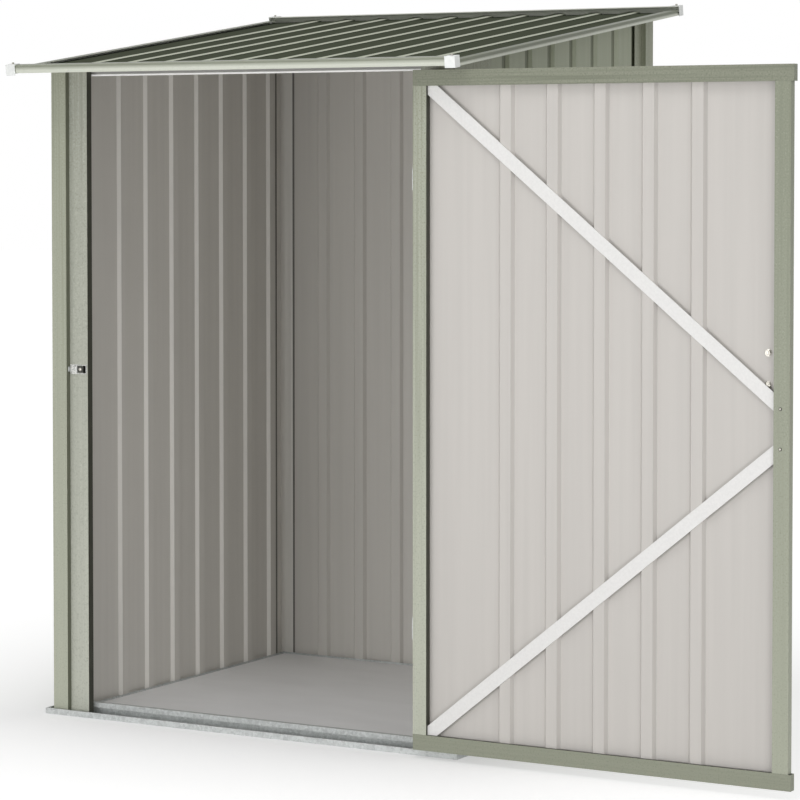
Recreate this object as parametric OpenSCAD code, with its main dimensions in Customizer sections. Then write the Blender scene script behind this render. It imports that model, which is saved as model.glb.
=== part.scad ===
/* [Shed body] */
// Width over the corner posts
shed_w = 1158; // [900:10:1600]
// Depth over the corner posts
shed_d = 1080; // [800:10:1500]
// Height of the roof's underside above the front face
front_h = 1632; // [1450:2:1720]
// Height of the roof's underside above the back face
back_h = 1780; // [1730:2:1950]
// Thickness of the folded steel
steel_t = 1.2; // [0.8:0.1:2]

/* [Ribbed sheets] */
// Width of a rib where it leaves the sheet
rib_base = 39; // [30:1:60]
// Width of the flat on top of a rib
rib_top = 26; // [14:1:28]
// Height of a rib on the walls and the door
rib_h = 9; // [5:0.5:14]
// Height of a rib on the roof
roof_rib_h = 5; // [3:0.5:8]
// Spacing of the ribs on the side walls and the door
wall_pitch = 120; // [80:5:180]
// Least flat at the front end of a side wall
side_front_flat = 100; // [60:5:200]
// Flat at the back end of a side wall
side_back_flat = 4; // [3:0.5:80]
// Spacing of the ribs on the back wall
back_pitch = 118; // [80:1:180]
// Flat at the right end of the back wall
back_right_flat = 101; // [4:1:140]
// Least flat at the left end of the back wall
back_left_flat = 60; // [4:1:120]
// Spacing of the ribs on the roof
roof_pitch = 110; // [80:5:180]
// Least flat at each side of the roof sheet
roof_flat = 110; // [60:5:160]

/* [Corner posts and jambs] */
// Width of the outer strip on each face of a corner post
post_face = 44; // [35:1:60]
// Step from the outer strip back to the wall sheet
post_step = 14; // [8:0.5:20]
// Width of the strip that laps the wall sheet
post_lap = 38; // [25:1:60]
// Width of the lap that stays bare, up to the edge of the sheet
post_bare = 13; // [4:1:20]
// Width of the strip that laps a side wall at the front
front_lap = 160; // [60:5:200]
// Width of the stepped jamb strip beside the doorway
jamb_w = 55; // [45:1:80]
// Depth of the jamb at the doorway
jamb_d = 20; // [15:1:25]
// Depth of the back edge that stiffens the jamb
jamb_return = 18; // [10:1:30]

/* [Base] */
// How far the base rails stand out past the posts
rail_out = 15; // [8:1:25]
// Height of the outer lip of the base rails
rail_lip = 14.5; // [10:0.5:20]
// Width of the hem along the top of the lip
lip_hem = 5; // [3:0.5:8]
// Height of the inner lip of the side and back rails
inner_lip = 8; // [5:0.5:12]
// Depth of the sill behind the front face
sill_d = 54; // [50:1:80]
// Height of the stop at the back of the sill
stop_h = 30; // [22:1:40]
// Width of the flat on top of the stop
stop_w = 14; // [8:1:16]
// Height of the rolled front of the stop
stop_front = 13; // [8:1:18]
// Thickness of the floor sheet
floor_t = 3; // [2:0.5:6]

/* [Roof] */
// Reach of the roof past the front face
front_over = 106; // [60:2:160]
// Reach of the roof past the back face
back_over = 58; // [40:1:100]
// Reach of the roof past each side
side_over = 57.5; // [40:1:100]
// Height of the eave trims above the roof sheet's underside
eave_rise = 17.6; // [16:0.2:24]
// Depth of the eave trims below the roof sheet's underside
eave_drop = 3; // [2:0.5:8]
// Height of the gable trims above the roof sheet's underside
gable_rise = 9; // [8.5:0.5:15]
// Depth of the gable trims below the roof sheet's underside
gable_drop = 6; // [3:0.5:10]
// Width of the flat on top of the trims
trim_top = 25; // [15:1:35]
// Width of the fold under the trims
trim_under = 12; // [8:1:20]
// Height of the bead along the top of the trims
bead_h = 3.5; // [2:0.5:6]
// How far the bead stands out
bead_out = 1.5; // [1:0.1:2.5]
// Depth of the rails under the roof
top_rail_h = 30; // [20:1:50]
// Width of the flange of the rails under the roof
top_rail_w = 30; // [16:1:40]
// Height of the rail over the doorway above the head of the door
header_up = 0.5; // [0:0.5:6]
// Height of the lip along the foot of that rail
header_lip = 4; // [3:0.5:8]
// How far that lip stands out
header_out = 6; // [3:0.5:8]

/* [Corner caps] */
// Width of a cap along the eave
cap_w = 28; // [22:1:40]
// Width of a cap along the gable
cap_side = 24; // [20:1:40]
// Depth of a cap below the roof sheet's underside
cap_drop = 8; // [7:0.5:12]
// Wall of a cap
cap_t = 2; // [1.5:0.1:3]

/* [Door] */
// Gap between the door and each jamb
door_gap = 5; // [5:0.5:8]
// Gap between the door and the lip of the sill
door_sill_gap = 5; // [5:0.5:12]
// Gap between the door and the eave trim
door_head_gap = 6; // [5:0.5:15]
// Thickness of the door
door_t = 20; // [17:0.5:24]
// Height of the top and bottom bars
bar_h = 37; // [30:1:55]
// Reach of the bars past the free stile
bar_over = 6.5; // [2:0.5:12]
// Width of the hinge stile
hinge_face = 36; // [30:1:55]
// Width of the free stile
free_face = 38; // [30:1:55]
// Flat of the door sheet at the free edge
free_flat = 204; // [80:1:220]
// Least flat of the door sheet at the hinge edge
hinge_flat = 180; // [80:5:240]
// Width of the diagonal braces
brace_w = 32; // [20:1:40]
// Thickness of the diagonal braces
brace_t = 2; // [1.5:0.1:4]
// Height from the middle of the door to a brace's free end
brace_rise = 56; // [30:1:120]

/* [Hinges] */
// Height of a hinge
hinge_h = 50; // [45:1:80]
// Height of the lower hinge above the foot of the door
hinge_low = 285; // [150:1:400]
// Depth of the upper hinge below the head of the door
hinge_high = 254; // [150:1:400]
// Distance of the pin in front of the face of the shut door
pin_out = 12; // [10:0.5:16]
// Distance of the pin past the edge of the doorway
pin_past = 3; // [1:0.5:6]
// Radius of the knuckles
knuckle_r = 5; // [4:0.5:6]
// Radius of the hinge pin
pin_r = 2.5; // [2:0.1:3]
// Clearance round the pin and between the knuckles
pin_gap = 0.3; // [0.2:0.05:0.5]
// Thickness of the hinge leaves
leaf_t = 2; // [1.5:0.1:2.5]
// Width of the hinge leaves
leaf_w = 32; // [20:1:40]

/* [Handle and latch] */
// Height of the middle of the handle above the foot of the door
handle_up = 923; // [700:1:1100]
// Distance from the free edge to the handle
handle_in = 64; // [50:1:120]
// Spacing of the two bolts that hold the handle
handle_span = 71; // [60:1:120]
// Radius of the round bar of the handle
handle_r = 5; // [3:0.5:7]
// Reach of the handle in front of the door
handle_out = 34; // [25:1:45]
// Radius of the foot of the handle
foot_r = 10; // [8:0.5:14]
// Height of the latch plate above the foot of the door
latch_up = 854; // [500:1:1200]
// Height of the latch plate
latch_h = 24; // [22:1:40]
// Width of the latch plate
latch_w = 50; // [40:1:53]
// Thickness of the latch plate
latch_t = 2.5; // [1.5:0.1:4]
// Height of the window in the latch plate
window_h = 19; // [12:0.5:20]
// Width of the window in the latch plate
window_w = 27; // [18:1:32]
// Width of the edge of the plate beside the window
window_edge = 2; // [2:0.5:6]
// Width of the hole for the latch in the jamb behind the window
keep_w = 10; // [8:1:16]

/* [Hidden] */
$fn = 48;

GREEN = "#A2A78F";
ROOF_GREEN = "#4A5142";
TRIM_GREEN = "#C3C8B6";
INSIDE_GREY = "#8A857E";
PALE_GREY = "#C8C4BE";
WHITE = "#EFF1F0";
ZINC = "#D2D4D3";
NICKEL = "#B9B7B2";

half_w = shed_w / 2;
half_d = shed_d / 2;
tall = back_h + front_over;

// Roof: the slope, and its edges measured up the slope from the front face
slope = atan((back_h - front_h) / shed_d);
roof_front = -front_over / cos(slope);
roof_back = (shed_d + back_over) / cos(slope);
roof_side = half_w + side_over;
trim_face = bead_out + steel_t;

// Walls: outer face of the sheets, and the inner face of their ribs, from the posts' faces
wall_in = post_step + steel_t;
ribs_in = wall_in + rib_h + steel_t;
sheet_in = post_face + post_bare;
rail_clear = 0.6;
rail_in = ribs_in + rail_clear + steel_t;

// Doorway
jamb_in = post_face + jamb_w;
opening_w = shed_w - 2 * jamb_in;
eave_bottom = front_h + roof_front * sin(slope) - eave_drop * cos(slope);
head_z = eave_bottom - door_head_gap;
stop_half = opening_w / 2 + jamb_return - 2 * steel_t;

// Door, drawn shut and then swung open about the hinge
door_w = opening_w - 2 * door_gap;
door_foot = rail_lip + door_sill_gap;
door_h = head_z - door_foot;
door_left = -door_w / 2;
door_face = -half_d;
hinge_x = opening_w / 2 + pin_past;
hinge_y = door_face - pin_out;
open_turn = 180;
frame_low = 2 * steel_t;
rib_clear = 0.3;
free_edge = door_left + bar_over;
hinge_edge = door_w / 2;
stile_foot = door_foot + bar_h;
stile_h = door_h - 2 * bar_h;
bay_left = free_edge + free_face;
bay_right = hinge_edge - hinge_face;
rib_face = frame_low + rib_h;

// One wing of folded steel: an open line of points, thickened to its left
function unit(v) = v / norm(v);
function left_of(v) = [-v[1], v[0]];
function way(p, i) = unit(p[min(i + 1, len(p) - 1)] - p[min(i, len(p) - 2)]);
function fold_point(p, i, t) =
    let (a = way(p, max(i - 1, 0)), b = way(p, i))
    p[i] + (left_of(a) + left_of(b)) * t / (1 + a * b);
function folded(p, t) = concat(p, [for (i = [len(p) - 1:-1:0]) fold_point(p, i, t)]);

// A ribbed sheet's line: flats on the axis, ribs raised to the left, the first one after its own flat
function rib_count(room, pitch) = floor((room - rib_base) / pitch) + 1;
function even_flat(width, pitch, flat) =
    (width - rib_base - (rib_count(width - 2 * flat, pitch) - 1) * pitch) / 2;
function rib_line(width, pitch, start_flat, end_flat, high = rib_h) =
    let (n = rib_count(width - start_flat - end_flat, pitch))
    let (first = start_flat + (rib_base - width) / 2)
    concat(
        [[-width / 2, 0]],
        [for (i = [0:n - 1], q = [[-rib_base, 0], [-rib_top, high], [rib_top, high], [rib_base, 0]])
            [first + i * pitch + q[0] / 2, q[1]]],
        [[width / 2, 0]]);
function even_rib_line(width, pitch, flat, high) =
    let (both = even_flat(width, pitch, flat)) rib_line(width, pitch, both, flat, high);

module fold(points, length, t = steel_t) {
    linear_extrude(length) polygon(folded(points, t));
}

// Stands a fold drawn as [depth, height] along X, centred
module along_x(length) {
    rotate([90, 0, 90]) translate([0, 0, -length / 2]) children();
}

// Lays a fold drawn as [width, height] along Y, from y0 on
module along_y(y0, length) {
    translate([0, y0 + length, 0]) rotate([90, 0, 0]) children();
}

// The roof's own frame: X across, Y up the slope from the front face, Z square to the sheet
module on_roof() {
    translate([0, -half_d, front_h]) rotate([slope, 0, 0]) children();
}

// Cuts the top of a wall, post or rail to the underside of the roof
module under_roof() {
    difference() {
        children();
        on_roof() translate([-shed_w, -shed_d, 0]) cube([2 * shed_w, 4 * shed_d, tall]);
    }
}

module on_right() {
    mirror([1, 0, 0]) children();
}

module at_back() {
    mirror([0, 1, 0]) children();
}

module front_left_corner() {
    translate([-half_w, -half_d, steel_t]) children();
}

// Base
function rail_line(reach) =
    [[lip_hem - rail_out, rail_lip], [-rail_out, rail_lip], [-rail_out, 0], [reach, 0]];
lipped_rail_line = concat(rail_line(rail_in), [[rail_in, inner_lip]]);
sill_line = concat(rail_line(sill_d),
    [[sill_d, stop_h], [sill_d - stop_w, stop_h], [sill_d - stop_w, stop_h - stop_front]]);

module rail_end(reach) {
    translate([-half_w - rail_out, -half_d - rail_out, 0]) cube([steel_t, rail_out + reach, rail_lip]);
}

module front_sill() {
    color(ZINC) {
        translate([0, -half_d, 0]) along_x(2 * stop_half) fold(sill_line, 2 * stop_half);
        for (side = [0, 1]) mirror([side, 0, 0]) {
            length = half_w + rail_out - stop_half;
            translate([-stop_half - length / 2, -half_d, 0]) along_x(length)
                fold(rail_line(sill_d), length);
            rail_end(sill_d);
        }
    }
}

module back_base_rail() {
    inner = shed_w - 2 * rail_in;
    end = rail_out + rail_in;
    color(ZINC) at_back() {
        translate([0, -half_d, 0]) along_x(inner) fold(lipped_rail_line, inner);
        for (side = [0, 1]) mirror([side, 0, 0]) {
            translate([-(inner + end) / 2, -half_d, 0]) along_x(end) fold(rail_line(rail_in), end);
            rail_end(rail_in);
        }
    }
}

module left_base_rail() {
    length = shed_d - sill_d - rail_in;
    color(ZINC) translate([-half_w, 0, 0]) along_y(sill_d - half_d, length)
        fold(lipped_rail_line, length);
}

module right_base_rail() {
    on_right() left_base_rail();
}

module floor_sheet() {
    color(PALE_GREY) translate([rail_in - half_w, sill_d - half_d, 0])
        cube([shed_w - 2 * rail_in, shed_d - sill_d - rail_in, floor_t]);
}

// Posts and jambs
jamb_back = post_step + jamb_d;
function post_side(lap) =
    [[post_step, post_face + lap], [post_step, post_face], [0, post_face], [0, 0], [post_face, 0]];

module front_left_post() {
    color(GREEN) under_roof() front_left_corner()
        fold(concat(post_side(front_lap), [[post_face, jamb_back + steel_t]]), tall);
}

module front_right_post() {
    on_right() front_left_post();
}

module back_left_post() {
    color(GREEN) under_roof() at_back() front_left_corner()
        fold(concat(post_side(post_lap),
            [[post_face, post_step], [post_face + post_lap, post_step]]), tall);
}

module back_right_post() {
    on_right() back_left_post();
}

module jamb() {
    color(GREEN) under_roof() front_left_corner()
        fold([[post_face, jamb_back], [post_face, post_step], [jamb_in, post_step],
            [jamb_in, jamb_back], [jamb_in - jamb_return, jamb_back]], tall);
}

module left_jamb() {
    difference() {
        jamb();
        behind_window() translate([window_w - keep_w, 0, 0]) cube([keep_w, jamb_d / 2, window_h]);
    }
}

module right_jamb() {
    on_right() jamb();
}

// Rails under the roof
module front_top_rail() {
    foot = head_z + header_up;
    length = opening_w + 2 * jamb_return;
    color(WHITE) under_roof() translate([0, -half_d, 0]) along_x(length)
        fold([[jamb_back + header_out, tall], [jamb_back + header_out, foot + header_lip],
            [jamb_back, foot + header_lip], [jamb_back, foot],
            [jamb_back + top_rail_w / 2, foot]], length);
}

module back_top_rail() {
    length = shed_w - 2 * ribs_in;
    foot = back_h - ribs_in * tan(slope) - top_rail_h;
    color(ZINC) under_roof() at_back() translate([0, -half_d, 0]) along_x(length)
        fold([[ribs_in, tall], [ribs_in, foot], [ribs_in + top_rail_w / 2, foot]], length);
}

module left_top_rail() {
    start = (jamb_back + top_rail_w / 2 + rail_clear) / cos(slope);
    end = (shed_d - ribs_in - top_rail_w / 2 - rail_clear) / cos(slope) - top_rail_h * tan(slope);
    x = ribs_in - half_w;
    color(ZINC) on_roof() along_y(start, end - start)
        fold([[x + top_rail_w, 0], [x, 0], [x, -top_rail_h]], end - start);
}

module right_top_rail() {
    on_right() left_top_rail();
}

// Ribbed sheets, ribs raised to the inside
module left_wall() {
    length = shed_d - 2 * sheet_in;
    color(INSIDE_GREY) under_roof() translate([wall_in - half_w, 0, steel_t]) rotate(-90)
        fold(rib_line(length, wall_pitch, side_back_flat, side_front_flat), tall);
}

module right_wall() {
    on_right() left_wall();
}

module back_wall() {
    length = shed_w - 2 * sheet_in;
    color(INSIDE_GREY) under_roof() translate([0, half_d - wall_in, steel_t]) rotate(180)
        fold(rib_line(length, back_pitch, back_right_flat, back_left_flat), tall);
}

module roof_sheet() {
    width = 2 * (roof_side - trim_face);
    length = roof_back - roof_front - 2 * trim_face;
    color(ROOF_GREEN) on_roof() along_y(roof_front + trim_face, length)
        fold(even_rib_line(width, roof_pitch, roof_flat, roof_rib_h), length);
}

// Roof trims: folded channels that close the edges of the roof sheet, with a bead along the top
function trim_line(rise, drop) =
    [[trim_top, rise], [0, rise], [0, rise - bead_h], [bead_out, rise - bead_h - bead_out],
        [bead_out, -drop], [trim_under, -drop]];

module eave_trim() {
    along_x(2 * roof_side) fold(trim_line(eave_rise, eave_drop), 2 * roof_side);
}

module front_eave_trim() {
    color(TRIM_GREEN) on_roof() translate([0, roof_front, 0]) eave_trim();
}

module back_eave_trim() {
    color(TRIM_GREEN) on_roof() translate([0, roof_back, 0]) mirror([0, 1, 0]) eave_trim();
}

module left_gable_trim() {
    length = roof_back - roof_front - 2 * trim_top;
    color(TRIM_GREEN) on_roof() translate([-roof_side, 0, 0]) along_y(roof_front + trim_top, length)
        fold(trim_line(gable_rise, gable_drop), length);
}

module right_gable_trim() {
    on_right() left_gable_trim();
}

module cap() {
    high = eave_rise + cap_drop;
    difference() {
        translate([-cap_t, -cap_t, -cap_drop]) cube([cap_w, cap_side, high + cap_t]);
        translate([0, 0, -2 * cap_drop]) cube([2 * cap_w, 2 * cap_side, 2 * cap_drop + eave_rise]);
    }
}

module front_left_cap() {
    color(WHITE) on_roof() translate([-roof_side, roof_front, 0]) cap();
}

module front_right_cap() {
    on_right() front_left_cap();
}

module back_left_cap() {
    color(WHITE) on_roof() translate([-roof_side, roof_back, 0]) mirror([0, 1, 0]) cap();
}

module back_right_cap() {
    on_right() back_left_cap();
}

// Door, from its outer face inwards
module swung() {
    translate([hinge_x, hinge_y, 0]) rotate(open_turn) translate([-hinge_x, -hinge_y, 0]) children();
}

module on_door() {
    swung() translate([0, door_face, 0]) children();
}

module door_sheet() {
    width = hinge_edge - free_edge - 2 * steel_t;
    color(PALE_GREY) on_door()
        translate([(hinge_edge + free_edge) / 2, steel_t, door_foot + steel_t])
        fold(rib_line(width, wall_pitch, free_flat, hinge_flat), door_h - 2 * steel_t);
}

module door_bar() {
    along_x(door_w)
        fold([[0, bar_h], [0, 0], [door_t, 0], [door_t, bar_h], [rib_face + rib_clear, bar_h]], door_w);
    translate([door_left, 0, 0]) cube([steel_t, door_t, bar_h]);
}

module door_top_bar() {
    color(GREEN) on_door() translate([0, 0, door_foot + door_h]) mirror([0, 0, 1]) door_bar();
}

module door_bottom_bar() {
    color(GREEN) on_door() translate([0, 0, door_foot]) door_bar();
}

module door_hinge_stile() {
    color(GREEN) on_door() translate([0, 0, stile_foot])
        fold([[bay_right, 0], [hinge_edge, 0], [hinge_edge, door_t],
            [bay_right, door_t], [bay_right, frame_low]], stile_h);
}

module door_free_stile() {
    color(GREEN) on_door() translate([0, 0, stile_foot])
        fold([[bay_left, frame_low], [bay_left, door_t], [free_edge, door_t],
            [free_edge, 0], [bay_left, 0]], stile_h);
}

// A flat strap on the ribs, from the corner of the bay at the hinge side to the middle of the free stile
module brace() {
    middle = door_foot + door_h / 2;
    bay_top = door_foot + door_h - bar_h;
    run = bay_right - bay_left;
    rise = bay_top - middle - brace_rise;
    lean = atan(rise / run);
    translate([0, rib_face, 0]) intersection() {
        translate([bay_left, 0, middle + brace_rise]) rotate([0, -lean, 0])
            translate([-run, 0, -brace_w / 2]) cube([3 * run, brace_t, brace_w]);
        translate([bay_left, 0, middle]) cube([run, brace_t, bay_top - middle]);
    }
}

module door_upper_brace() {
    color(WHITE) on_door() brace();
}

module door_lower_brace() {
    color(WHITE) on_door() translate([0, 0, 2 * door_foot + door_h]) mirror([0, 0, 1]) brace();
}

// A bent round bar on two feet, on the outside of the door
module door_handle() {
    reach = handle_out - handle_r;
    color(NICKEL) on_door() translate([door_left + handle_in, steel_t, door_foot + handle_up]) {
        for (end = [-1, 1]) translate([0, 0, end * handle_span / 2]) rotate([90, 0, 0]) {
            cylinder(r = foot_r, h = leaf_t);
            cylinder(r = handle_r, h = reach);
            translate([0, 0, reach]) sphere(r = handle_r);
        }
        translate([0, -reach, -handle_span / 2]) cylinder(r = handle_r, h = handle_span);
    }
}

// Hinges: three knuckles on one pin, the middle one on the door
third = hinge_h / 3;
upper_hinge_z = door_foot + door_h - hinge_high - hinge_h / 2;
lower_hinge_z = door_foot + hinge_low - hinge_h / 2;

module frame_leaf() {
    arm = [knuckle_r, 0];
    bend = [knuckle_r, post_step + pin_out - leaf_t];
    translate([hinge_x, hinge_y, 0]) {
        for (z = [0, 2 * third]) translate([0, 0, z]) {
            cylinder(r = knuckle_r, h = third);
            fold([arm, bend, bend + [leaf_w, 0]], third, leaf_t);
        }
        cylinder(r = pin_r, h = hinge_h);
        fold([bend, bend + [leaf_w, 0]], hinge_h, leaf_t);
    }
}

module door_leaf() {
    knuckle_h = third - 2 * pin_gap;
    difference() {
        translate([0, door_face, 0]) {
            fold([[hinge_edge, door_t], [hinge_edge, 0], [hinge_edge - leaf_w, 0]], hinge_h, leaf_t);
            translate([0, 0, third + pin_gap]) {
                fold([[hinge_edge, 0], [hinge_x, -pin_out]], knuckle_h, leaf_t);
                translate([hinge_x, -pin_out, 0]) cylinder(r = knuckle_r, h = knuckle_h);
            }
        }
        translate([hinge_x, hinge_y, 0]) cylinder(r = pin_r + pin_gap, h = hinge_h);
    }
}

module upper_frame_leaf() {
    color(ZINC) translate([0, 0, upper_hinge_z]) frame_leaf();
}

module lower_frame_leaf() {
    color(ZINC) translate([0, 0, lower_hinge_z]) frame_leaf();
}

module upper_door_leaf() {
    color(ZINC) swung() translate([0, 0, upper_hinge_z]) door_leaf();
}

module lower_door_leaf() {
    color(ZINC) swung() translate([0, 0, lower_hinge_z]) door_leaf();
}

// The keeper for the latch, on the jamb beside the free edge, with its window
latch_left = -opening_w / 2 - (jamb_w + latch_w) / 2;
latch_z = door_foot + latch_up;

module behind_window() {
    left = latch_left + latch_w - window_edge - window_w;
    translate([left, post_step - half_d, latch_z - window_h / 2]) children();
}

module latch_plate() {
    color(NICKEL) difference() {
        translate([latch_left, post_step - half_d - latch_t, latch_z - latch_h / 2])
            cube([latch_w, latch_t, latch_h]);
        behind_window() translate([0, -latch_t, 0]) cube([window_w, latch_t, window_h]);
    }
}

front_sill();
back_base_rail();
left_base_rail();
right_base_rail();
floor_sheet();
front_left_post();
front_right_post();
back_left_post();
back_right_post();
left_jamb();
right_jamb();
front_top_rail();
back_top_rail();
left_top_rail();
right_top_rail();
left_wall();
right_wall();
back_wall();
roof_sheet();
front_eave_trim();
back_eave_trim();
left_gable_trim();
right_gable_trim();
front_left_cap();
front_right_cap();
back_left_cap();
back_right_cap();
door_sheet();
door_top_bar();
door_bottom_bar();
door_hinge_stile();
door_free_stile();
door_upper_brace();
door_lower_brace();
door_handle();
upper_frame_leaf();
lower_frame_leaf();
upper_door_leaf();
lower_door_leaf();
latch_plate();
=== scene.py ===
# %% [markdown]
# # A steel lean-to shed
#
# The shed comes as forty solids: folded posts, ribbed sheets, trims, a door on two hinges.
# Those solids already have the real sizes, so nothing here moves or reshapes them.
# What is left for this lesson is how the shed looks: the camera, the studio, one finish for each
# kind of metal, softened edges, and the small fastenings that hold the pieces together.

# %% Load the solids
import math

import bmesh
import bpy
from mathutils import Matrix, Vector
from mathutils.bvhtree import BVHTree


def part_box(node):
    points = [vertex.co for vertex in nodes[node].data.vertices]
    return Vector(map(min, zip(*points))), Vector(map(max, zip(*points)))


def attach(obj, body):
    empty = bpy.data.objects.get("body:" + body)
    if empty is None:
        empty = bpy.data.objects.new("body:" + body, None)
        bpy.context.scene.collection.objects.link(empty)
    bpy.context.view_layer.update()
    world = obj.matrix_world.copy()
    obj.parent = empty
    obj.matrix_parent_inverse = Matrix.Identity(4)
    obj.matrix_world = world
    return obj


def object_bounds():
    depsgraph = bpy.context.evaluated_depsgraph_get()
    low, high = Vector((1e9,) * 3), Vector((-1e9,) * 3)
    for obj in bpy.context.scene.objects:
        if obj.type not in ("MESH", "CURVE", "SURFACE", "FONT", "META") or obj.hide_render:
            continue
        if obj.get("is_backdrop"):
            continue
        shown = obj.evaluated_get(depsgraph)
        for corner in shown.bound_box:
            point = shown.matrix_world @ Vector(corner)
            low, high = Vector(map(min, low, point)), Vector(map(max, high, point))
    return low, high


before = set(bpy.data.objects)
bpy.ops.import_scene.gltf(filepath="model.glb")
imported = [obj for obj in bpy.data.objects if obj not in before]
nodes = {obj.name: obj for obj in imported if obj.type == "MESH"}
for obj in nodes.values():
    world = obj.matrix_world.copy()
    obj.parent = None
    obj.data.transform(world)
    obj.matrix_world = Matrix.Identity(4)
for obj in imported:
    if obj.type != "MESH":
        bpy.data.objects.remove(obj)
cad_low, cad_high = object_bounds()
print("size in metres", [round(v, 3) for v in cad_high - cad_low])

# %% [markdown]
# ## The camera
#
# A long lens stands to the right of the doorway, a little lower than the eave.
# Tilting a camera makes upright edges lean together. A shifted lens, as on a view camera, keeps
# them upright, but the shift stays in every other view too. So half of the work is done by a small
# tilt and half by the shift, and the posts still lean by less than two pixels.

# %% Camera
CAMERA_AT = (3.9484, -6.6637, 1.4031)
CAMERA_TILT = math.radians(90 - 2.2)
CAMERA_TURN = math.radians(29.869)
SENSOR_WIDTH = 36
FOCAL_LENGTH = 135.27
LENS_SHIFT = -0.1576

lens = bpy.data.cameras.new("camera")
lens.sensor_width = SENSOR_WIDTH
lens.lens = FOCAL_LENGTH
lens.shift_y = LENS_SHIFT
camera = bpy.data.objects.new("camera", lens)
camera.location = CAMERA_AT
camera.rotation_euler = (CAMERA_TILT, 0, CAMERA_TURN)
scene = bpy.context.scene
scene.collection.objects.link(camera)
scene.camera = camera
scene.view_settings.view_transform = "Standard"
shed_middle = (cad_low + cad_high) / 2
print("camera", round((Vector(CAMERA_AT) - shed_middle).length, 2), "m from the shed")

# %% [markdown]
# ## Shader maths in Python
#
# A finish is a net of nodes, and most of them do sums: a mask times a grain, one minus a mask.
# Written as nodes and links, one sum takes four lines. The class below wraps a node's output so
# that Python's own operators add the Math nodes, and `1 - mask` reads as it would on paper.
# Every other kind of node goes through one method: its settings first, then its sockets.


# %% A wire with operators
class Wire:
    """A node's output, with sums as Python operators."""

    def __init__(self, socket):
        self.socket = socket

    @classmethod
    def node(cls, tree, kind, settings=None, sockets=None, output=0):
        """Adds any node and hands back one of its outputs."""
        made = tree.nodes.new(kind)
        for name, value in (settings or {}).items():
            setattr(made, name, value)
        for name, value in (sockets or {}).items():
            if isinstance(value, Wire):
                tree.links.new(value.socket, made.inputs[name])
            else:
                made.inputs[name].default_value = value
        return cls(made.outputs[output]) if made.outputs else None

    def out(self, name):
        """Another output of the same node."""
        return Wire(self.socket.node.outputs[name])

    def sum(self, operation, first, second, clamp=False):
        settings = {"operation": operation, "use_clamp": clamp}
        return Wire.node(self.socket.id_data, "ShaderNodeMath", settings, {0: first, 1: second})

    def __add__(self, other):
        return self.sum("ADD", self, other)

    def __sub__(self, other):
        return self.sum("SUBTRACT", self, other)

    def __rsub__(self, other):
        return self.sum("SUBTRACT", other, self)

    def __mul__(self, other):
        return self.sum("MULTIPLY", self, other)

    def __gt__(self, other):
        return self.sum("GREATER_THAN", self, other)

    def __or__(self, other):
        return self.sum("MAXIMUM", self, other)

    def __abs__(self):
        return self.sum("ABSOLUTE", self, 0)

    def between(self, low, high):
        """Zero below low, one above high, a straight line between."""
        return self.sum("MULTIPLY", self - low, 1 / (high - low), clamp=True)

    __radd__ = __add__
    __rmul__ = __mul__


print("sums on a wire:", "+ - * > | abs between")


# %% Sums of vectors
def vectors(tree, operation, first, second=(0, 0, 0), output=0):
    """A sum of two vectors. The output named Value is a sum that comes out as one number."""
    return Wire.node(tree, "ShaderNodeVectorMath", {"operation": operation},
                     {0: first, 1: second}, output)


print("sums of vectors: vectors")

# %% [markdown]
# ## The studio
#
# A pale floor and an even white surround light a painted thing without hard shadows.
# The surround alone would flatten the ribs, so soft boxes stand round the front. The front one and
# the left one shape the door, a low one on the right reaches the left wall through the doorway and
# fades towards the back, and one above the eave falls on the floor sheet.
# The background should be white without putting more light on the shed. Light Path tells a ray that
# comes from the camera or a reflection from one that lights a surface, and only the former sees
# white.

# %% Surround
AMBIENT = 0.55


def seen_ray(tree):
    """One for rays from the camera, a mirror or a pane, zero for rays that light a surface."""
    ray = Wire.node(tree, "ShaderNodeLightPath")
    return ray.out("Is Camera Ray") | ray.out("Is Glossy Ray") | ray.out("Is Transmission Ray")


surround = bpy.data.worlds.new("surround")
surround.use_nodes = True
sky = surround.node_tree
sky.nodes.clear()
dim, bright = (
    Wire.node(sky, "ShaderNodeBackground", {}, {"Color": (1, 1, 1, 1), "Strength": strength})
    for strength in (AMBIENT, 1))
shown = Wire.node(sky, "ShaderNodeMixShader", {}, {0: seen_ray(sky), 1: dim, 2: bright})
Wire.node(sky, "ShaderNodeOutputWorld", {}, {"Surface": shown})
scene.world = surround
print("surround of strength", AMBIENT)

# %% [markdown]
# The floor is one large sheet. It is a pale matte paint, which bounces light up under the eave and
# keeps the soft shadow at the foot of the shed. For rays that are seen, a white glow is mixed in, so
# that the open floor runs into the white surround without a horizon. The glow is weakest at the foot
# of the walls and comes up within half a metre or so: that darker band round the shed is a painted
# shadow, laid over the real one so that the glow does not wash it out.

# %% Floor
FLOOR_HALF = 30.0
FLOOR_GREY = 0.9
FLOOR_GLOW = 0.35
GLOW_STRENGTH = 2.0
# the next two: how much glow the painted shadow takes away at the walls, and its reach in metres
PAINTED_SHADOW_DEPTH = 0.47
PAINTED_SHADOW_REACH = 0.5
FOOT_HALF = (0.58, 0.55, 0)


def new_finish(name):
    """An empty material and its node tree."""
    made = bpy.data.materials.new(name)
    made.use_nodes = True
    made.node_tree.nodes.clear()
    return made, made.node_tree


def surface(tree, shader):
    Wire.node(tree, "ShaderNodeOutputMaterial", {}, {"Surface": shader})


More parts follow.
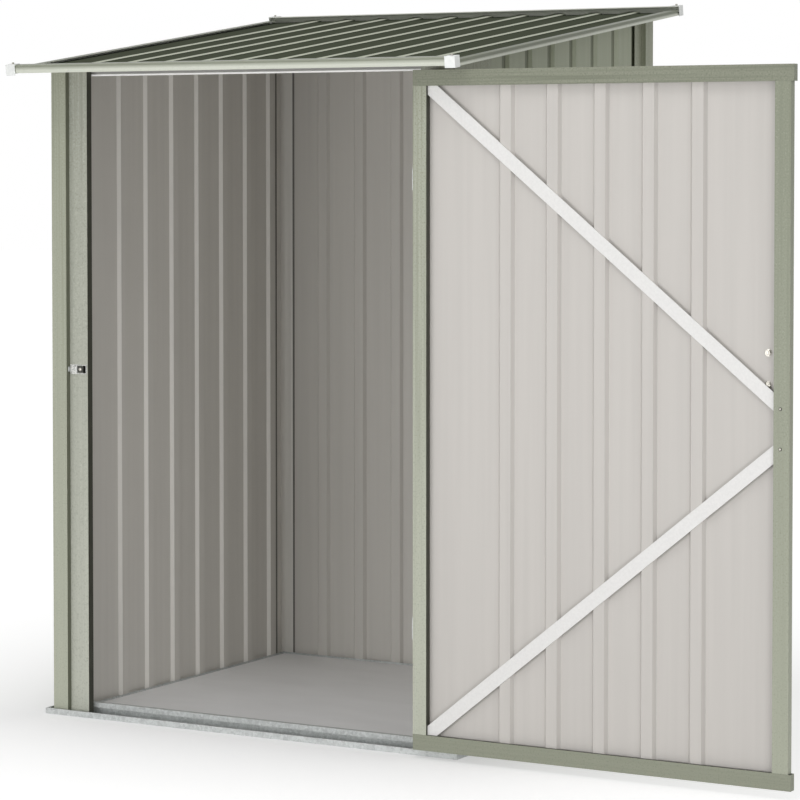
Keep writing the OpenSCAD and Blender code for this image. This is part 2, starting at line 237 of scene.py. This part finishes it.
def glow_with_painted_shadow(tree):
    """The glow of the floor, which falls off towards the foot of the walls: a painted shadow."""
    spot = Wire.node(tree, "ShaderNodeTexCoord").out("Object")
    past_walls = vectors(tree, "SUBTRACT", vectors(tree, "ABSOLUTE", spot), FOOT_HALF)
    away = vectors(tree, "LENGTH", vectors(tree, "MAXIMUM", past_walls), output="Value")
    # the glow dips near the walls: a painted shadow round the shed
    power = away * (-1 / PAINTED_SHADOW_REACH)
    painted_shadow = Wire.node(tree, "ShaderNodeMath", {"operation": "EXPONENT"}, {0: power})
    share = 1 - PAINTED_SHADOW_DEPTH * painted_shadow
    tone = Wire.node(tree, "ShaderNodeCombineColor", {},
                     {"Red": share, "Green": share, "Blue": share})
    return Wire.node(tree, "ShaderNodeEmission", {}, {"Color": tone, "Strength": GLOW_STRENGTH})


floor_mesh = bpy.data.meshes.new("studio_floor")
floor_mesh.from_pydata([(x * FLOOR_HALF, y * FLOOR_HALF, 0)
                        for x, y in ((-1, -1), (1, -1), (1, 1), (-1, 1))], [], [(0, 1, 2, 3)])
studio_floor = bpy.data.objects.new("studio_floor", floor_mesh)
scene.collection.objects.link(studio_floor)
studio_floor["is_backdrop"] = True
pale, tree = new_finish("studio_floor")
matte = Wire.node(tree, "ShaderNodeBsdfDiffuse", {},
                  {"Color": (FLOOR_GREY, FLOOR_GREY, FLOOR_GREY, 1)})
surface(tree, Wire.node(tree, "ShaderNodeMixShader", {},
                        {0: seen_ray(tree) * FLOOR_GLOW, 1: matte, 2: glow_with_painted_shadow(tree)}))
floor_mesh.materials.append(pale)
print("floor", 2 * FLOOR_HALF, "m wide")

# %% Soft boxes
# Name, place, point it looks at, width and height in metres, watts
SOFT_BOXES = (
    ("front_box", (0.6, -6.4, 0.6), (0.0, 0, 0.9), 2.6, 1.2, 34),
    ("left_box", (-1.6, -6.2, 0.6), (0.4, -0.3, 0.8), 2.6, 1.2, 60),
    ("right_box", (4.8, -3.9, 0.7), (-0.3, -0.3, 0.7), 2.4, 1.4, 52),
    ("top_box", (0.6, -2.6, 4.7), (0.2, -0.3, 0.0), 1.6, 1.6, 33),
)

for name, at, aim, width, tall, watts in SOFT_BOXES:
    box = bpy.data.lights.new(name, "AREA")
    box.shape = "RECTANGLE"
    box.size, box.size_y, box.energy = width, tall, watts
    lamp = bpy.data.objects.new(name, box)
    lamp.location = at
    lamp.rotation_euler = (Vector(aim) - Vector(at)).to_track_quat("-Z", "Y").to_euler()
    scene.collection.objects.link(lamp)
    print(name, watts, "W")

# %% [markdown]
# ## Finishes
#
# Every finish reads the same two things: where a point lies on its piece, in metres, and which way
# the surface faces. Both belong to the piece, so the grain stays on the door when the door swings.
# Grain could come from pictures, but noise in space needs no unwrapping and has the right scale on a
# post as on a screw.


# %% Colours
def paint(red, green, blue):
    """A colour as a paint card gives it, 0 to 255, turned into light."""
    def light(v):
        v /= 255
        return v / 12.92 if v <= 0.04045 else ((v + 0.055) / 1.055) ** 2.4
    return (light(red), light(green), light(blue), 1)


def mixed(factor, first, second):
    """A colour between two colours, by a wire."""
    return Wire.node(factor.socket.id_data, "ShaderNodeMix", {"data_type": "RGBA"},
                     {0: factor, 6: first, 7: second}, 2)


print("colours: paint, mixed")


# %% Places and directions
ROOF_FOOT = (0, -0.54, 1.632)
ROOF_SLOPE = math.atan2(0.148, 1.08)
TO_FRONT = (0, -1, 0)


def where(tree, stretch=(1, 1, 1)):
    """The point on the piece, in metres, drawn out by a factor for each axis."""
    point = Wire.node(tree, "ShaderNodeTexCoord").out("Object")
    return vectors(tree, "MULTIPLY", point, stretch)


def along(tree, axis):
    """Where a point lies along X, Y or Z when the door is as it was loaded, in metres."""
    return Wire.node(tree, "ShaderNodeSeparateXYZ", {}, {"Vector": where(tree)}).out(axis)


def facing(tree, direction):
    """How far the surface looks in a direction of its own piece, from -1 to 1."""
    normal = Wire.node(tree, "ShaderNodeTexCoord").out("Normal")
    return vectors(tree, "DOT_PRODUCT", normal, direction, "Value")


def above_roof(tree):
    """Height of a point above the underside of the roof sheet, square to it, in metres."""
    up = (0, -math.sin(ROOF_SLOPE), math.cos(ROOF_SLOPE))
    lift = vectors(tree, "SUBTRACT", where(tree), ROOF_FOOT)
    return vectors(tree, "DOT_PRODUCT", lift, up, "Value")


print("places and directions: where, along, facing, above_roof")

# %% Noise, dents and the coat
SPREAD = (0.3, 0.7)   # the values that most of a noise lies between
finishes = {}


def noise(point, size, detail=2.0):
    """Cloudy noise whose patches are about this size in metres."""
    return Wire.node(point.socket.id_data, "ShaderNodeTexNoise", {},
                     {"Vector": point, "Scale": 1 / size, "Detail": detail})


def dented(relief, depth, strength):
    """A bump whose highest point stands this many metres proud."""
    return Wire.node(relief.socket.id_data, "ShaderNodeBump", {},
                     {"Height": relief, "Distance": depth, "Strength": strength})


def coated(name, made, sockets):
    """Closes a finish with its shader and puts it on the list."""
    tree = made.node_tree
    surface(tree, Wire.node(tree, "ShaderNodeBsdfPrincipled", {}, sockets))
    finishes[name] = made


print("grain: noise, dented, coated")

# %% [markdown]
# ### Grained green paint
#
# Posts, jambs, trims and the door's frame wear a sage green powder coat. Powder melts into a skin
# with a fine grain: faint pale and dark flecks up to four millimetres across. Fine noise, sharpened
# to flecks, tints the colour and lifts the surface, slow noise keeps long strips from looking ruled,
# and noise drawn out along the strip gives the thin lines that the rolls leave. The coat is a little
# paler towards the ground, where the dark flecks still show.
# The edge of a jamb, stile or post that looks into the opening, and the top of the door's bottom
# bar,
# are painted dark: painted shade in the narrow returns. A direction says which faces those are.
# The trims round the roof darken towards their top edge, a painted shade, and the gable trims' inner
# side is painted pale, a painted highlight against the dark slot under them. The back posts are only
# primed inside; that primer is paler, a painted highlight, with a dark seam beside the sheets that
# is painted shade.

# %% Inner faces of the back posts
LOOKS = 0.5                              # least facing of a face that looks in a direction
POST_SIDE, POST_BACK = 0.56, 0.52        # the posts' inner faces lie further out than this
SEAM_SIDE, SEAM_BACK = 0.4975, 0.529     # and the painted shade of the seam ends here


def inner_faces(tree, side):
    """Masks of a back post: its faces that look into the shed, and the seam of painted shade beside
    the sheets.

    side is -1 for the left post and 1 for the right one."""
    out, deep = side * along(tree, "X"), along(tree, "Y")
    on_side = (facing(tree, (-side, 0, 0)) > LOOKS) * (out > POST_SIDE)
    on_back = (facing(tree, TO_FRONT) > LOOKS) * (deep > POST_BACK)
    seam_shade = on_side * (1 - (deep > SEAM_SIDE)) | on_back * (1 - (out > SEAM_BACK))
    return on_side | on_back, seam_shade


print("back posts: inner_faces")

# %% Grained green paint
FLECK, CLOUD = 0.004, 0.12               # sizes in metres
UP_LINES = (180, 180, 1.6)               # patches per metre along each axis
CROSS_LINES = (1.6, 180, 180)
DARK_FLECK, PALE_FLECK = (0.3, 0.46), (0.56, 0.74)
PALE_LEAST, PALE_SPAN = 0.25, 0.5
ROLL_LINE, LINE_SHARE = (0.46, 0.66), 0.8
FADE, FADE_SHARE = (0.1, 1.5), 0.66      # heights in metres, share of the pale tone at the foot
KEPT_FLECK = 0.4
RETURN = (0.6, 0.9)                      # facing at which a return starts and is full
PRIMER = paint(203, 200, 194)
# paler primer on the back posts' inner faces is a painted highlight, the dark seam beside the sheets
# painted shade
LIT_CORNER_PRIMER = paint(230, 227, 221)
SEAM_SHADE = paint(116, 113, 108)


def grained(name, dark, middle, light, roughness, drawn=UP_LINES,
            top_shade=None, returns=None, painted_return=None, inner=None):
    made, tree = new_finish(name)
    fleck = noise(where(tree), FLECK, 3.0)
    cloud = noise(where(tree), CLOUD)
    line = noise(where(tree, drawn), 1.0)
    clear = fleck.between(*DARK_FLECK)
    pale = fleck.between(*PALE_FLECK) * (PALE_LEAST + PALE_SPAN * cloud)
    colour = mixed(pale, mixed(clear, dark, middle), light)
    colour = mixed(line.between(*ROLL_LINE) * LINE_SHARE, colour, dark)
    colour = mixed((1 - along(tree, "Z").between(*FADE)) * FADE_SHARE, colour, light)
    colour = mixed((1 - clear) * KEPT_FLECK, colour, dark)
    # painted shade towards the top edge of the trims
    if top_shade:
        tone, low, high = top_shade
        colour = mixed(above_roof(tree).between(low, high), colour, tone)
    # faces that look into the opening get a painted tone: painted shade in the returns, painted
    # light on the gable trims' inner side
    if returns:
        colour = mixed(facing(tree, returns).between(*RETURN), colour, painted_return)
    if inner:
        primed, seam_shade = inner_faces(tree, inner)
        # paler primer as a painted highlight, then the seam of painted shade
        colour = mixed(seam_shade, mixed(primed, colour, LIT_CORNER_PRIMER), SEAM_SHADE)
    coated(name, made, {"Base Color": colour, "Roughness": roughness + 0.2 * fleck,
                        "Normal": dented(fleck, depth=0.0003, strength=0.5)})


print("green paint: grained")

# %% Green pieces
# One sage paint in lighter and darker copies for the light on each piece: painted light on the jambs
# and hinge stile, painted shade on the free stile and the bars
# Dark flecks, middle tone, pale flecks, least roughness
SAGE = (paint(139, 142, 124), paint(153, 156, 138), paint(184, 187, 170), 0.42)
LIT_JAMB_SAGE = (paint(145, 147, 134), paint(160, 162, 149), paint(196, 198, 186), 0.42)
LIT_HINGE_SAGE = (paint(133, 136, 119), paint(161, 164, 147), paint(190, 193, 178), 0.42)
SHADED_STILE_SAGE = (paint(124, 128, 110), paint(134, 138, 120), paint(174, 177, 160), 0.42)
SHADED_BAR_SAGE = (paint(108, 112, 94), paint(129, 132, 115), paint(156, 159, 142), 0.42)
SHADED_LOW_BAR_SAGE = (paint(109, 113, 95), paint(127, 130, 113), paint(142, 145, 128), 0.42)
PALE_SAGE = (paint(198, 201, 188), paint(204, 207, 194), paint(210, 213, 201), 0.35)
# Painted shade towards a trim's top edge: tone, heights above the roof between which it comes in
TRIM_TOP_SHADE = (paint(138, 142, 126), 0.004, 0.013)
GABLE_TOP_SHADE = (paint(110, 115, 97), -0.002, 0.003)
# painted shade in the post's groove and in the returns of jambs, stiles and the bottom bar
POST_GROOVE_SHADE = paint(100, 103, 87)
RETURN_SHADE = paint(56, 57, 47)

for side, inwards in (("left", 1), ("right", -1)):
    to_middle = (inwards, 0, 0)
    grained("front_" + side + "_post", *SAGE, returns=to_middle, painted_return=POST_GROOVE_SHADE)
    grained("back_" + side + "_post", *SAGE, inner=-inwards)
    grained(side + "_jamb", *LIT_JAMB_SAGE, returns=to_middle, painted_return=RETURN_SHADE)
    # the gable trims' inner side gets the pale tone: painted light against the dark slot
    grained(side + "_gable_trim", *PALE_SAGE, top_shade=GABLE_TOP_SHADE, returns=to_middle,
            painted_return=PALE_SAGE[2])
grained("door_hinge_stile", *LIT_HINGE_SAGE, returns=(1, 0, 0), painted_return=RETURN_SHADE)
grained("door_free_stile", *SHADED_STILE_SAGE, returns=(-1, 0, 0), painted_return=RETURN_SHADE)
grained("bar_paint", *SHADED_BAR_SAGE, CROSS_LINES)
grained("door_bottom_bar", *SHADED_LOW_BAR_SAGE, CROSS_LINES, returns=(0, 0, 1), painted_return=RETURN_SHADE)
grained("trim_paint", *PALE_SAGE, CROSS_LINES, top_shade=TRIM_TOP_SHADE)
grained("back_eave_trim", *PALE_SAGE, CROSS_LINES)
print(sorted(finishes))

# %% [markdown]
# ### Sheets painted on two sides
#
# A wall is one sheet with two coats: sage green to the weather, a pale grey primer inside.
# Two materials would need the faces sorted by hand. Instead the finish asks which way the surface
# looks: towards the room it shows grey, away from it green. Faint streaks drawn out along the sheet
# follow the direction in which it was rolled.
# On the side walls the floor of each groove is painted dark, a painted shade, and the rib's sides
# that look to the front are painted pale, a painted highlight, outside and inside.
# On the roof the upper half of each rib's sides is painted pale, a painted highlight between the
# dark pans, and the lower half darker, painted shade at the foot of the rib. Height above the roof
# picks those halves out.

# %% Two-sided sheets
ROOM_FACING = 0.05                  # a face that looks further into the room than this is primed
RIB_SIDE = (0.3, 0.6)               # facing at which a rib's side starts and is full
WEATHER_STREAK, ROOM_STREAK = 0.06, 0.025
RIB_HIGHLIGHT_START = 0.0028                     # height above the roof where the painted highlight starts
# painted highlight on the front-facing rib sides and painted shade on the groove floors of the side
# walls
LIT_GROOVE_SIDE = paint(182, 187, 166)
SHADED_GROOVE_FLOOR = paint(118, 122, 104)
LIT_RIB_PRIMER = paint(223, 220, 214)


def streaked(streak, colour, span):
    """A colour that goes up and down by a share along the streaks."""
    pale = tuple(min(1, v * (1 + span)) for v in colour[:3]) + (1,)
    deep = tuple(v * (1 - span) for v in colour[:3]) + (1,)
    return mixed(streak.between(*SPREAD), deep, pale)


def two_sided(name, inwards, outside, inside, rolled, rib_foot_shade=None, rib_highlight=None, painted_groove=None,
              specular=0.5):
    made, tree = new_finish(name)
    streak = noise(where(tree, [1 / v for v in rolled]), 1.0, 3.0)
    grain = noise(where(tree), 0.0012)
    weather = streaked(streak, outside, WEATHER_STREAK)
    room = streaked(streak, inside, ROOM_STREAK)
    # painted highlight on the upper half of the roof ribs' sides, painted shade on the lower half
    if rib_highlight:
        side = abs(facing(tree, (1, 0, 0))).between(*RIB_SIDE)
        weather = mixed(side, weather, mixed(above_roof(tree) > RIB_HIGHLIGHT_START, rib_foot_shade, rib_highlight))
    # painted highlight on the rib sides that look to the front, painted shade on the floor of each
    # groove
    if painted_groove:
        front = facing(tree, TO_FRONT).between(*RIB_SIDE)
        weather = mixed(front, weather, LIT_GROOVE_SIDE)
        weather = mixed(abs(along(tree, "X")) > painted_groove, SHADED_GROOVE_FLOOR, weather)
        room = mixed(front, room, LIT_RIB_PRIMER)
    coated(name, made, {
        "Base Color": mixed(facing(tree, inwards) > ROOM_FACING, weather, room),
        "Roughness": 0.42 + 0.16 * grain, "Specular IOR Level": specular,
        "Normal": dented(grain, depth=0.0001, strength=0.35)})


print("sheets: streaked, two_sided")

# %% Walls, door and roof
UPRIGHT = (0.02, 0.02, 0.9)         # size of a streak along each axis, in metres
DOWN_SLOPE = (0.02, 0.9, 0.9)
GROOVE_DEPTH = 0.002
GREEN = paint(154, 159, 138)
DOOR_PRIMER = paint(194, 190, 185)
ROOF_GREEN = paint(84, 89, 75)

two_sided("left_wall", (1, 0, 0), GREEN, PRIMER, UPRIGHT,
          painted_groove=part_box("left_wall")[1][0] * -1 + GROOVE_DEPTH)
two_sided("right_wall", (-1, 0, 0), GREEN, PRIMER, UPRIGHT,
          painted_groove=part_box("right_wall")[0][0] + GROOVE_DEPTH)
two_sided("back_wall", TO_FRONT, GREEN, PRIMER, UPRIGHT)
two_sided("door_sheet", TO_FRONT, GREEN, DOOR_PRIMER, UPRIGHT)
two_sided("roof_sheet", (0, 0, -1), ROOF_GREEN, PRIMER, DOWN_SLOPE,
          rib_foot_shade=paint(64, 68, 56), rib_highlight=paint(212, 216, 199), specular=0.0)
print("walls, door and roof")

# %% [markdown]
# ### White paint, white plastic, nickel and the floor sheet
#
# These are plain coats: two near tones in patches, with a gloss that follows the patches. One
# function makes them all, and the size of the patches tells them apart.
# The braces of the door and the rail over the doorway are painted white. Only the lip along the foot
# of the rail shows white: above it the rail is painted grey, a painted shade under the eave.
# The caps on the roof's corners are moulded, so they shine a little more and have no grain but a
# faint ripple from the mould. Handle and screws are nickel plated: a warm silver with fine rubbed
# marks. The washers and the cup of the latch are blackened; at the latch, washer and cup are dark
# pieces that stand for the shade in its window, painted shade. The floor sheet is a smooth pale coat
# with faint scuffs and a grain of its own.

# %% Plain coats
LIP = (0.0035, 0.0065)              # heights above the rail's foot where the white ends and the painted shade begins


def mottled(name, dull, bright, patch, rough, stretch=(1, 1, 1), metallic=0.0, dents=None,
            grain=None, rail=None):
    """A coat of two tones. patch is the size and detail of its noise, rough the least roughness
    and its span, dents the depth and strength of the bump, grain a noise of its own for the bump,
    rail the height of a rail's foot and the grey tone above its lip, painted shade under the eave."""
    made, tree = new_finish(name)
    patches = noise(where(tree, stretch), *patch)
    colour = mixed(patches.between(*SPREAD), dull, bright)
    if rail:
        foot, eave_shade = rail
        colour = mixed((along(tree, "Z") - foot).between(*LIP), colour, eave_shade)
    sockets = {"Base Color": colour, "Metallic": metallic,
               "Roughness": rough[0] + rough[1] * patches}
    if dents:
        relief = noise(where(tree), *grain) if grain else patches
        sockets["Normal"] = dented(relief, *dents)
    coated(name, made, sockets)


WHITE = {"patch": (0.006, 2.0), "rough": (0.4, 0.15), "dents": (0.0001, 0.3)}
mottled("white_paint", paint(221, 220, 218), paint(227, 226, 224), **WHITE)
# the rail over the doorway: white lip, with painted shade above it
mottled("front_top_rail", paint(250, 250, 249), paint(253, 253, 252), **WHITE,
        rail=(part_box("front_top_rail")[0][2], paint(150, 150, 147)))
mottled("cap_plastic", paint(226, 228, 226), paint(234, 236, 233),
        patch=(0.012, 1.0), rough=(0.28, 0.12), dents=(0.0004, 0.25))
mottled("nickel", paint(158, 155, 147), paint(196, 193, 185),
        patch=(0.004, 4.0), rough=(0.28, 0.2), stretch=(1, 1, 8), metallic=1.0)
mottled("blackened", paint(40, 40, 37), paint(62, 62, 58),
        patch=(0.002, 3.0), rough=(0.45, 0.2))
mottled("floor_paint", paint(238, 238, 239), paint(244, 244, 245),
        patch=(0.25, 5.0), rough=(0.38, 0.2), stretch=(1, 3, 1), dents=(0.0001, 0.3),
        grain=(0.002, 2.0))
print("white_paint, front_top_rail, cap_plastic, nickel, blackened and floor_paint")

# %% [markdown]
# ### Zinc
#
# The sill, the base rails, the rails under the roof and the hinges are galvanised. Zinc freezes on
# the steel in crystals, here about six millimetres across and finer on the latch plate, each with
# its own grey and its own gloss. A Voronoi texture draws such cells, and its random colour gives
# each cell one number.

# %% Zinc
CRYSTAL_SHARE, SPECK_SHARE = 0.55, 0.9
ZINC_SPAN = (0.3, 1.1)


def galvanised(name, dark, light, per_metre):
    made, tree = new_finish(name)
    cells = Wire.node(tree, "ShaderNodeTexVoronoi", {},
                      {"Vector": where(tree), "Scale": per_metre})
    crystal = Wire.node(tree, "ShaderNodeSeparateColor", {}, {"Color": cells.out("Color")})
    speck = noise(where(tree), 0.003, 3.0)
    shade = (CRYSTAL_SHARE * crystal + SPECK_SHARE * speck).between(*ZINC_SPAN)
    coated(name, made, {
        "Base Color": mixed(shade, dark, light), "Metallic": 0.35,
        "Roughness": 0.34 + 0.25 * crystal,
        "Normal": dented(speck, depth=0.0002, strength=0.3)})


galvanised("zinc", paint(170, 173, 172), paint(205, 208, 207), 160)
galvanised("latch_plate", paint(128, 130, 126), paint(232, 232, 228), 420)
print("zinc and latch_plate")

# %% [markdown]
# ## Dressing the solids
#
# Each solid gets one finish: the one with its own name, or else the one of its kind.

# %% Finish for each solid
KINDS = (
    (("sill", "base_rail", "back_top", "left_top", "right_top", "leaf"), "zinc"),
    (("brace",), "white_paint"),
    (("cap",), "cap_plastic"),
    (("trim",), "trim_paint"),
    (("bar",), "bar_paint"),
    (("handle",), "nickel"),
    (("floor",), "floor_paint"),
)


def finish_for(name):
    if name in finishes:
        return finishes[name]
    return finishes[next(kind for words, kind in KINDS if any(word in name for word in words))]


for name, solid in nodes.items():
    solid.data.materials.clear()
    solid.data.materials.append(finish_for(name))
print({name: sum(n.data.materials[0] == f for n in nodes.values()) for name, f in finishes.items()})

# %% [markdown]
# ## Softened edges
#
# No folded or moulded edge is as sharp as a drawing. The solids must stay as they are, so a Bevel
# modifier softens the edges on top of them. The solids arrive as loose triangles, and Weld joins
# those first, because Bevel needs to know which faces meet.

# %% Softened edges
FOLD_EDGE = 0.0004
CAP_EDGE = 0.0008
WELD_GAP = 1e-5
EDGE_STEPS = 2
EDGE_ANGLE = math.radians(30)

for name, solid in nodes.items():
    weld = solid.modifiers.new("weld", "WELD")
    weld.merge_threshold = WELD_GAP
    edge = solid.modifiers.new("edge", "BEVEL")
    edge.width = CAP_EDGE if "cap" in name else FOLD_EDGE
    edge.segments = EDGE_STEPS
    edge.limit_method = "ANGLE"
    edge.angle_limit = EDGE_ANGLE
print("edges softened on", len(nodes), "solids")

# %% [markdown]
# ## Fastenings
#
# Small things hold the shed together: bolts through the handle's feet, screws in the free stile, in
# the hinges and on the caps, and the bolt in the latch's window. Heads could be stacked from
# cylinders, but a lathe and a six-sided bar make them in one piece, so here too one outline of rings
# is lofted from the foot up. A ring is round, six-sided, square, a tall slot, oval or cross-shaped,
# the last for the driver.

# %% Rings
POINTS = 48
SLOT = 1.9                          # height of a slot as a share of its width
ARM, HOLLOW = 0.3, 0.45             # half turn of a cross's arm, and the radius between the arms


def ring_share(kind, turn):
    """Radius of an outline at a turn, as a share of the ring's radius."""
    if kind == "hex":
        sixth = math.pi / 3
        return math.cos(sixth / 2) / math.cos(turn % sixth - sixth / 2)
    if kind == "oval":
        return 1 / math.hypot(math.cos(turn), math.sin(turn) / 2)
    if kind == "square":
        return 1 / max(abs(math.cos(turn)), abs(math.sin(turn)))
    if kind == "slot":
        return 1 / max(abs(math.cos(turn)), abs(math.sin(turn)) / SLOT)
    if kind == "cross":
        quarter = math.pi / 2
        return 1.0 if abs((turn + quarter / 2) % quarter - quarter / 2) < ARM else HOLLOW
    return 1.0


print("rings of", POINTS, "points")

# %% Lofted fastenings
MM_PER_METRE = 1000
RIM_ANGLE = math.radians(35)


def loft(shape, rings, foot, axis):
    """Adds one fastening to a shape, from rings of kind, radius and height in millimetres."""
    turn = axis.to_track_quat("Z", "Y")
    last = None
    for kind, radius, rise in rings:
        loop = []
        for i in range(POINTS):
            angle = 2 * math.pi * i / POINTS
            reach = radius * ring_share(kind, angle)
            spot = Vector((reach * math.cos(angle), reach * math.sin(angle), rise)) / MM_PER_METRE
            loop.append(shape.verts.new(foot + turn @ spot))
        if last:
            for i in range(POINTS):
                j = (i + 1) % POINTS
                shape.faces.new((last[i], last[j], loop[j], loop[i]))
        else:
            shape.faces.new(loop[::-1])
        last = loop
    shape.faces.new(last)


def turned(name, rings, seats, body, finish):
    """One piece with a fastening on each seat."""
    shape = bmesh.new()
    for foot, axis in seats:
        loft(shape, rings, foot, axis)
    mesh = bpy.data.meshes.new(name)
    shape.to_mesh(mesh)
    shape.free()
    mesh.shade_smooth()
    mesh.set_sharp_from_angle(angle=RIM_ANGLE)
    mesh.materials.append(finishes[finish])
    piece = bpy.data.objects.new(name, mesh)
    scene.collection.objects.link(piece)
    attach(piece, body)
    print(name, len(seats), "x", len(rings), "rings")


# %% [markdown]
# Each fastening has to sit on the metal that carries it. Its place across the piece is known, and a
# ray shot at the solid finds where the surface is and which way it looks.
# The handle is held by a nut on a washer at each foot, with the end of the bolt standing out.

# %% Seats and handle bolts
TO_BACK = (0, 1, 0)
FRONT_Y = -0.8                      # rays from the front start here
FOOT_IN = 0.01                      # from the handle's ends to its bolts


def seat(node, start, direction):
    """Point and direction of the surface that a ray meets on a solid."""
    mesh = nodes[node].data
    skin = BVHTree.FromPolygons([v.co for v in mesh.vertices], [p.vertices for p in mesh.polygons])
    spot, normal, _, _ = skin.ray_cast(Vector(start), Vector(direction))
    return spot, normal


NUT = (("round", 8.2, 0), ("round", 8.2, 1.0), ("round", 7.8, 1.3), ("hex", 6.6, 1.3),
       ("hex", 7.0, 1.8), ("hex", 7.0, 4.7), ("hex", 6.4, 5.3), ("round", 3.6, 5.3),
       ("round", 3.6, 6.6), ("round", 2.8, 7.2))
handle_low, handle_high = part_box("door_handle")
handle_x = (handle_low[0] + handle_high[0]) / 2
turned("handle_bolts", NUT,
       [seat("door_sheet", (handle_x, FRONT_Y, z), TO_BACK)
        for z in (handle_low[2] + FOOT_IN, handle_high[2] - FOOT_IN)], "door", "nickel")

# %% [markdown]
# The screws in the free stile have a low round head with a cross slot, on a blackened washer.

# %% Stile screws
SCREW = (("round", 3.9, 0), ("round", 3.9, 1.6), ("round", 3.6, 2.3), ("round", 2.9, 2.8),
         ("cross", 2.3, 2.9), ("cross", 1.6, 1.6))
WASHER = (("round", 3.8, 0), ("round", 3.8, 0.5), ("round", 3.5, 0.7), ("round", 2.6, 0.7))
SMALLER = 0.72
STILE_SCREW = [(kind, SMALLER * radius, SMALLER * rise) for kind, radius, rise in SCREW]
STILE_X = 1.4127
STILE_HEIGHTS = (0.857, 0.769)
ON_WASHER = 0.0005
on_stile = [seat("door_free_stile", (STILE_X, FRONT_Y, z), TO_BACK) for z in STILE_HEIGHTS]
turned("stile_washers", WASHER, on_stile, "door", "blackened")
turned("stile_screws", STILE_SCREW,
       [(spot + normal * ON_WASHER, normal) for spot, normal in on_stile], "door", "nickel")

# %% [markdown]
# The fastening of the latch is a round-headed bolt in the plate's window, on a square washer. Beside
# it the window opens into a small dark cup behind the jamb, and an oval rivet sits in the groove of
# the post. The blackened washer and cup are dark pieces put where the window lies in shade: painted
# shade.

# %% Latch
BOLT = (("round", 4.8, 0), ("round", 4.8, 1.6), ("round", 4.5, 2.6), ("round", 3.8, 3.4),
        ("round", 2.6, 3.9))
SHADE_WASHER = (("square", 8.3, 0), ("square", 8.3, 0.7), ("square", 8.0, 1.0),
               ("square", 5.0, 1.0))
SHADE_CUP = (("slot", 5.8, -13), ("slot", 5.8, -1.25), ("slot", 5.2, -1.25), ("slot", 5.2, -12))
RIVET = (("oval", 3.6, 0), ("oval", 3.6, 0.8), ("oval", 3.1, 1.4), ("oval", 2.0, 1.8))
WINDOW_IN, RIVET_IN = 0.0295, 0.02  # from the plate's left end
RIVET_Y = -0.5305
BESIDE = Vector((0.0135, 0, 0))     # from the bolt's place to the cup
BOLT_PLAY = Vector((0.0014, -0.0008, 0))

latch_low, latch_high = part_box("latch_plate")
latch_z = (latch_low[2] + latch_high[2]) / 2
window_at, window_out = seat("left_jamb", (latch_low[0] + WINDOW_IN, FRONT_Y, latch_z), TO_BACK)
# blackened washer and cup: dark pieces put where the window lies in shade, painted shade
turned("latch_shade_washer", SHADE_WASHER, [(window_at, window_out)], "shed", "blackened")
turned("latch_shade_cup", SHADE_CUP, [(window_at + BESIDE, window_out)], "shed", "blackened")
turned("latch_bolt", BOLT, [(window_at + BOLT_PLAY, window_out)], "shed", "nickel")
turned("latch_rivet", RIVET,
       [seat("front_left_post", (latch_low[0] + RIVET_IN, RIVET_Y, latch_z), (-1, 0, 0))],
       "shed", "zinc")

# %% [markdown]
# Each hinge leaf is held by two of the same screws as in the stile, at their full size. The leaf on
# the jamb is screwed from the front, and the leaf on the open door from behind.

# %% Hinge screws
LEAF_SHARES = (0.22, 0.78)          # heights of the two screws as shares of the leaf


def leaf_seats(kind, x, from_y, direction):
    places = []
    for level in ("upper", "lower"):
        low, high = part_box(level + kind)
        places += [seat(level + kind, (x, from_y, low[2] + (high[2] - low[2]) * share), direction)
                   for share in LEAF_SHARES]
    return places


turned("frame_leaf_screws", SCREW,
       leaf_seats("_frame_leaf", x=0.507, from_y=-0.6, direction=TO_BACK), "shed", "nickel")
turned("door_leaf_screws", SCREW,
       leaf_seats("_door_leaf", x=0.509, from_y=-0.5, direction=TO_FRONT), "door", "nickel")

# %% [markdown]
# A six-sided screw with a small flange sits on top of each cap.

# %% Cap screws
CAP_SCREW = (("round", 3.4, 0), ("round", 3.4, 0.7), ("hex", 3.0, 0.7), ("hex", 3.2, 1.1),
             ("hex", 3.2, 3.4), ("hex", 2.7, 3.9))
OVER_CAP = 0.1                      # rays from above start this far over a cap
cap_tops = []
for name in nodes:
    if name.endswith("_cap"):
        low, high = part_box(name)
        over = ((low[0] + high[0]) / 2, (low[1] + high[1]) / 2, high[2] + OVER_CAP)
        cap_tops.append(seat(name, over, (0, 0, -1)))
turned("cap_screws", CAP_SCREW, cap_tops, "shed", "nickel")

# %% [markdown]
# ## Size
#
# The dressed shed has to keep the size of the solids, so both boxes are written side by side.

# %% Size
low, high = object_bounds()
print("dressed size", [round(v, 3) for v in high - low])
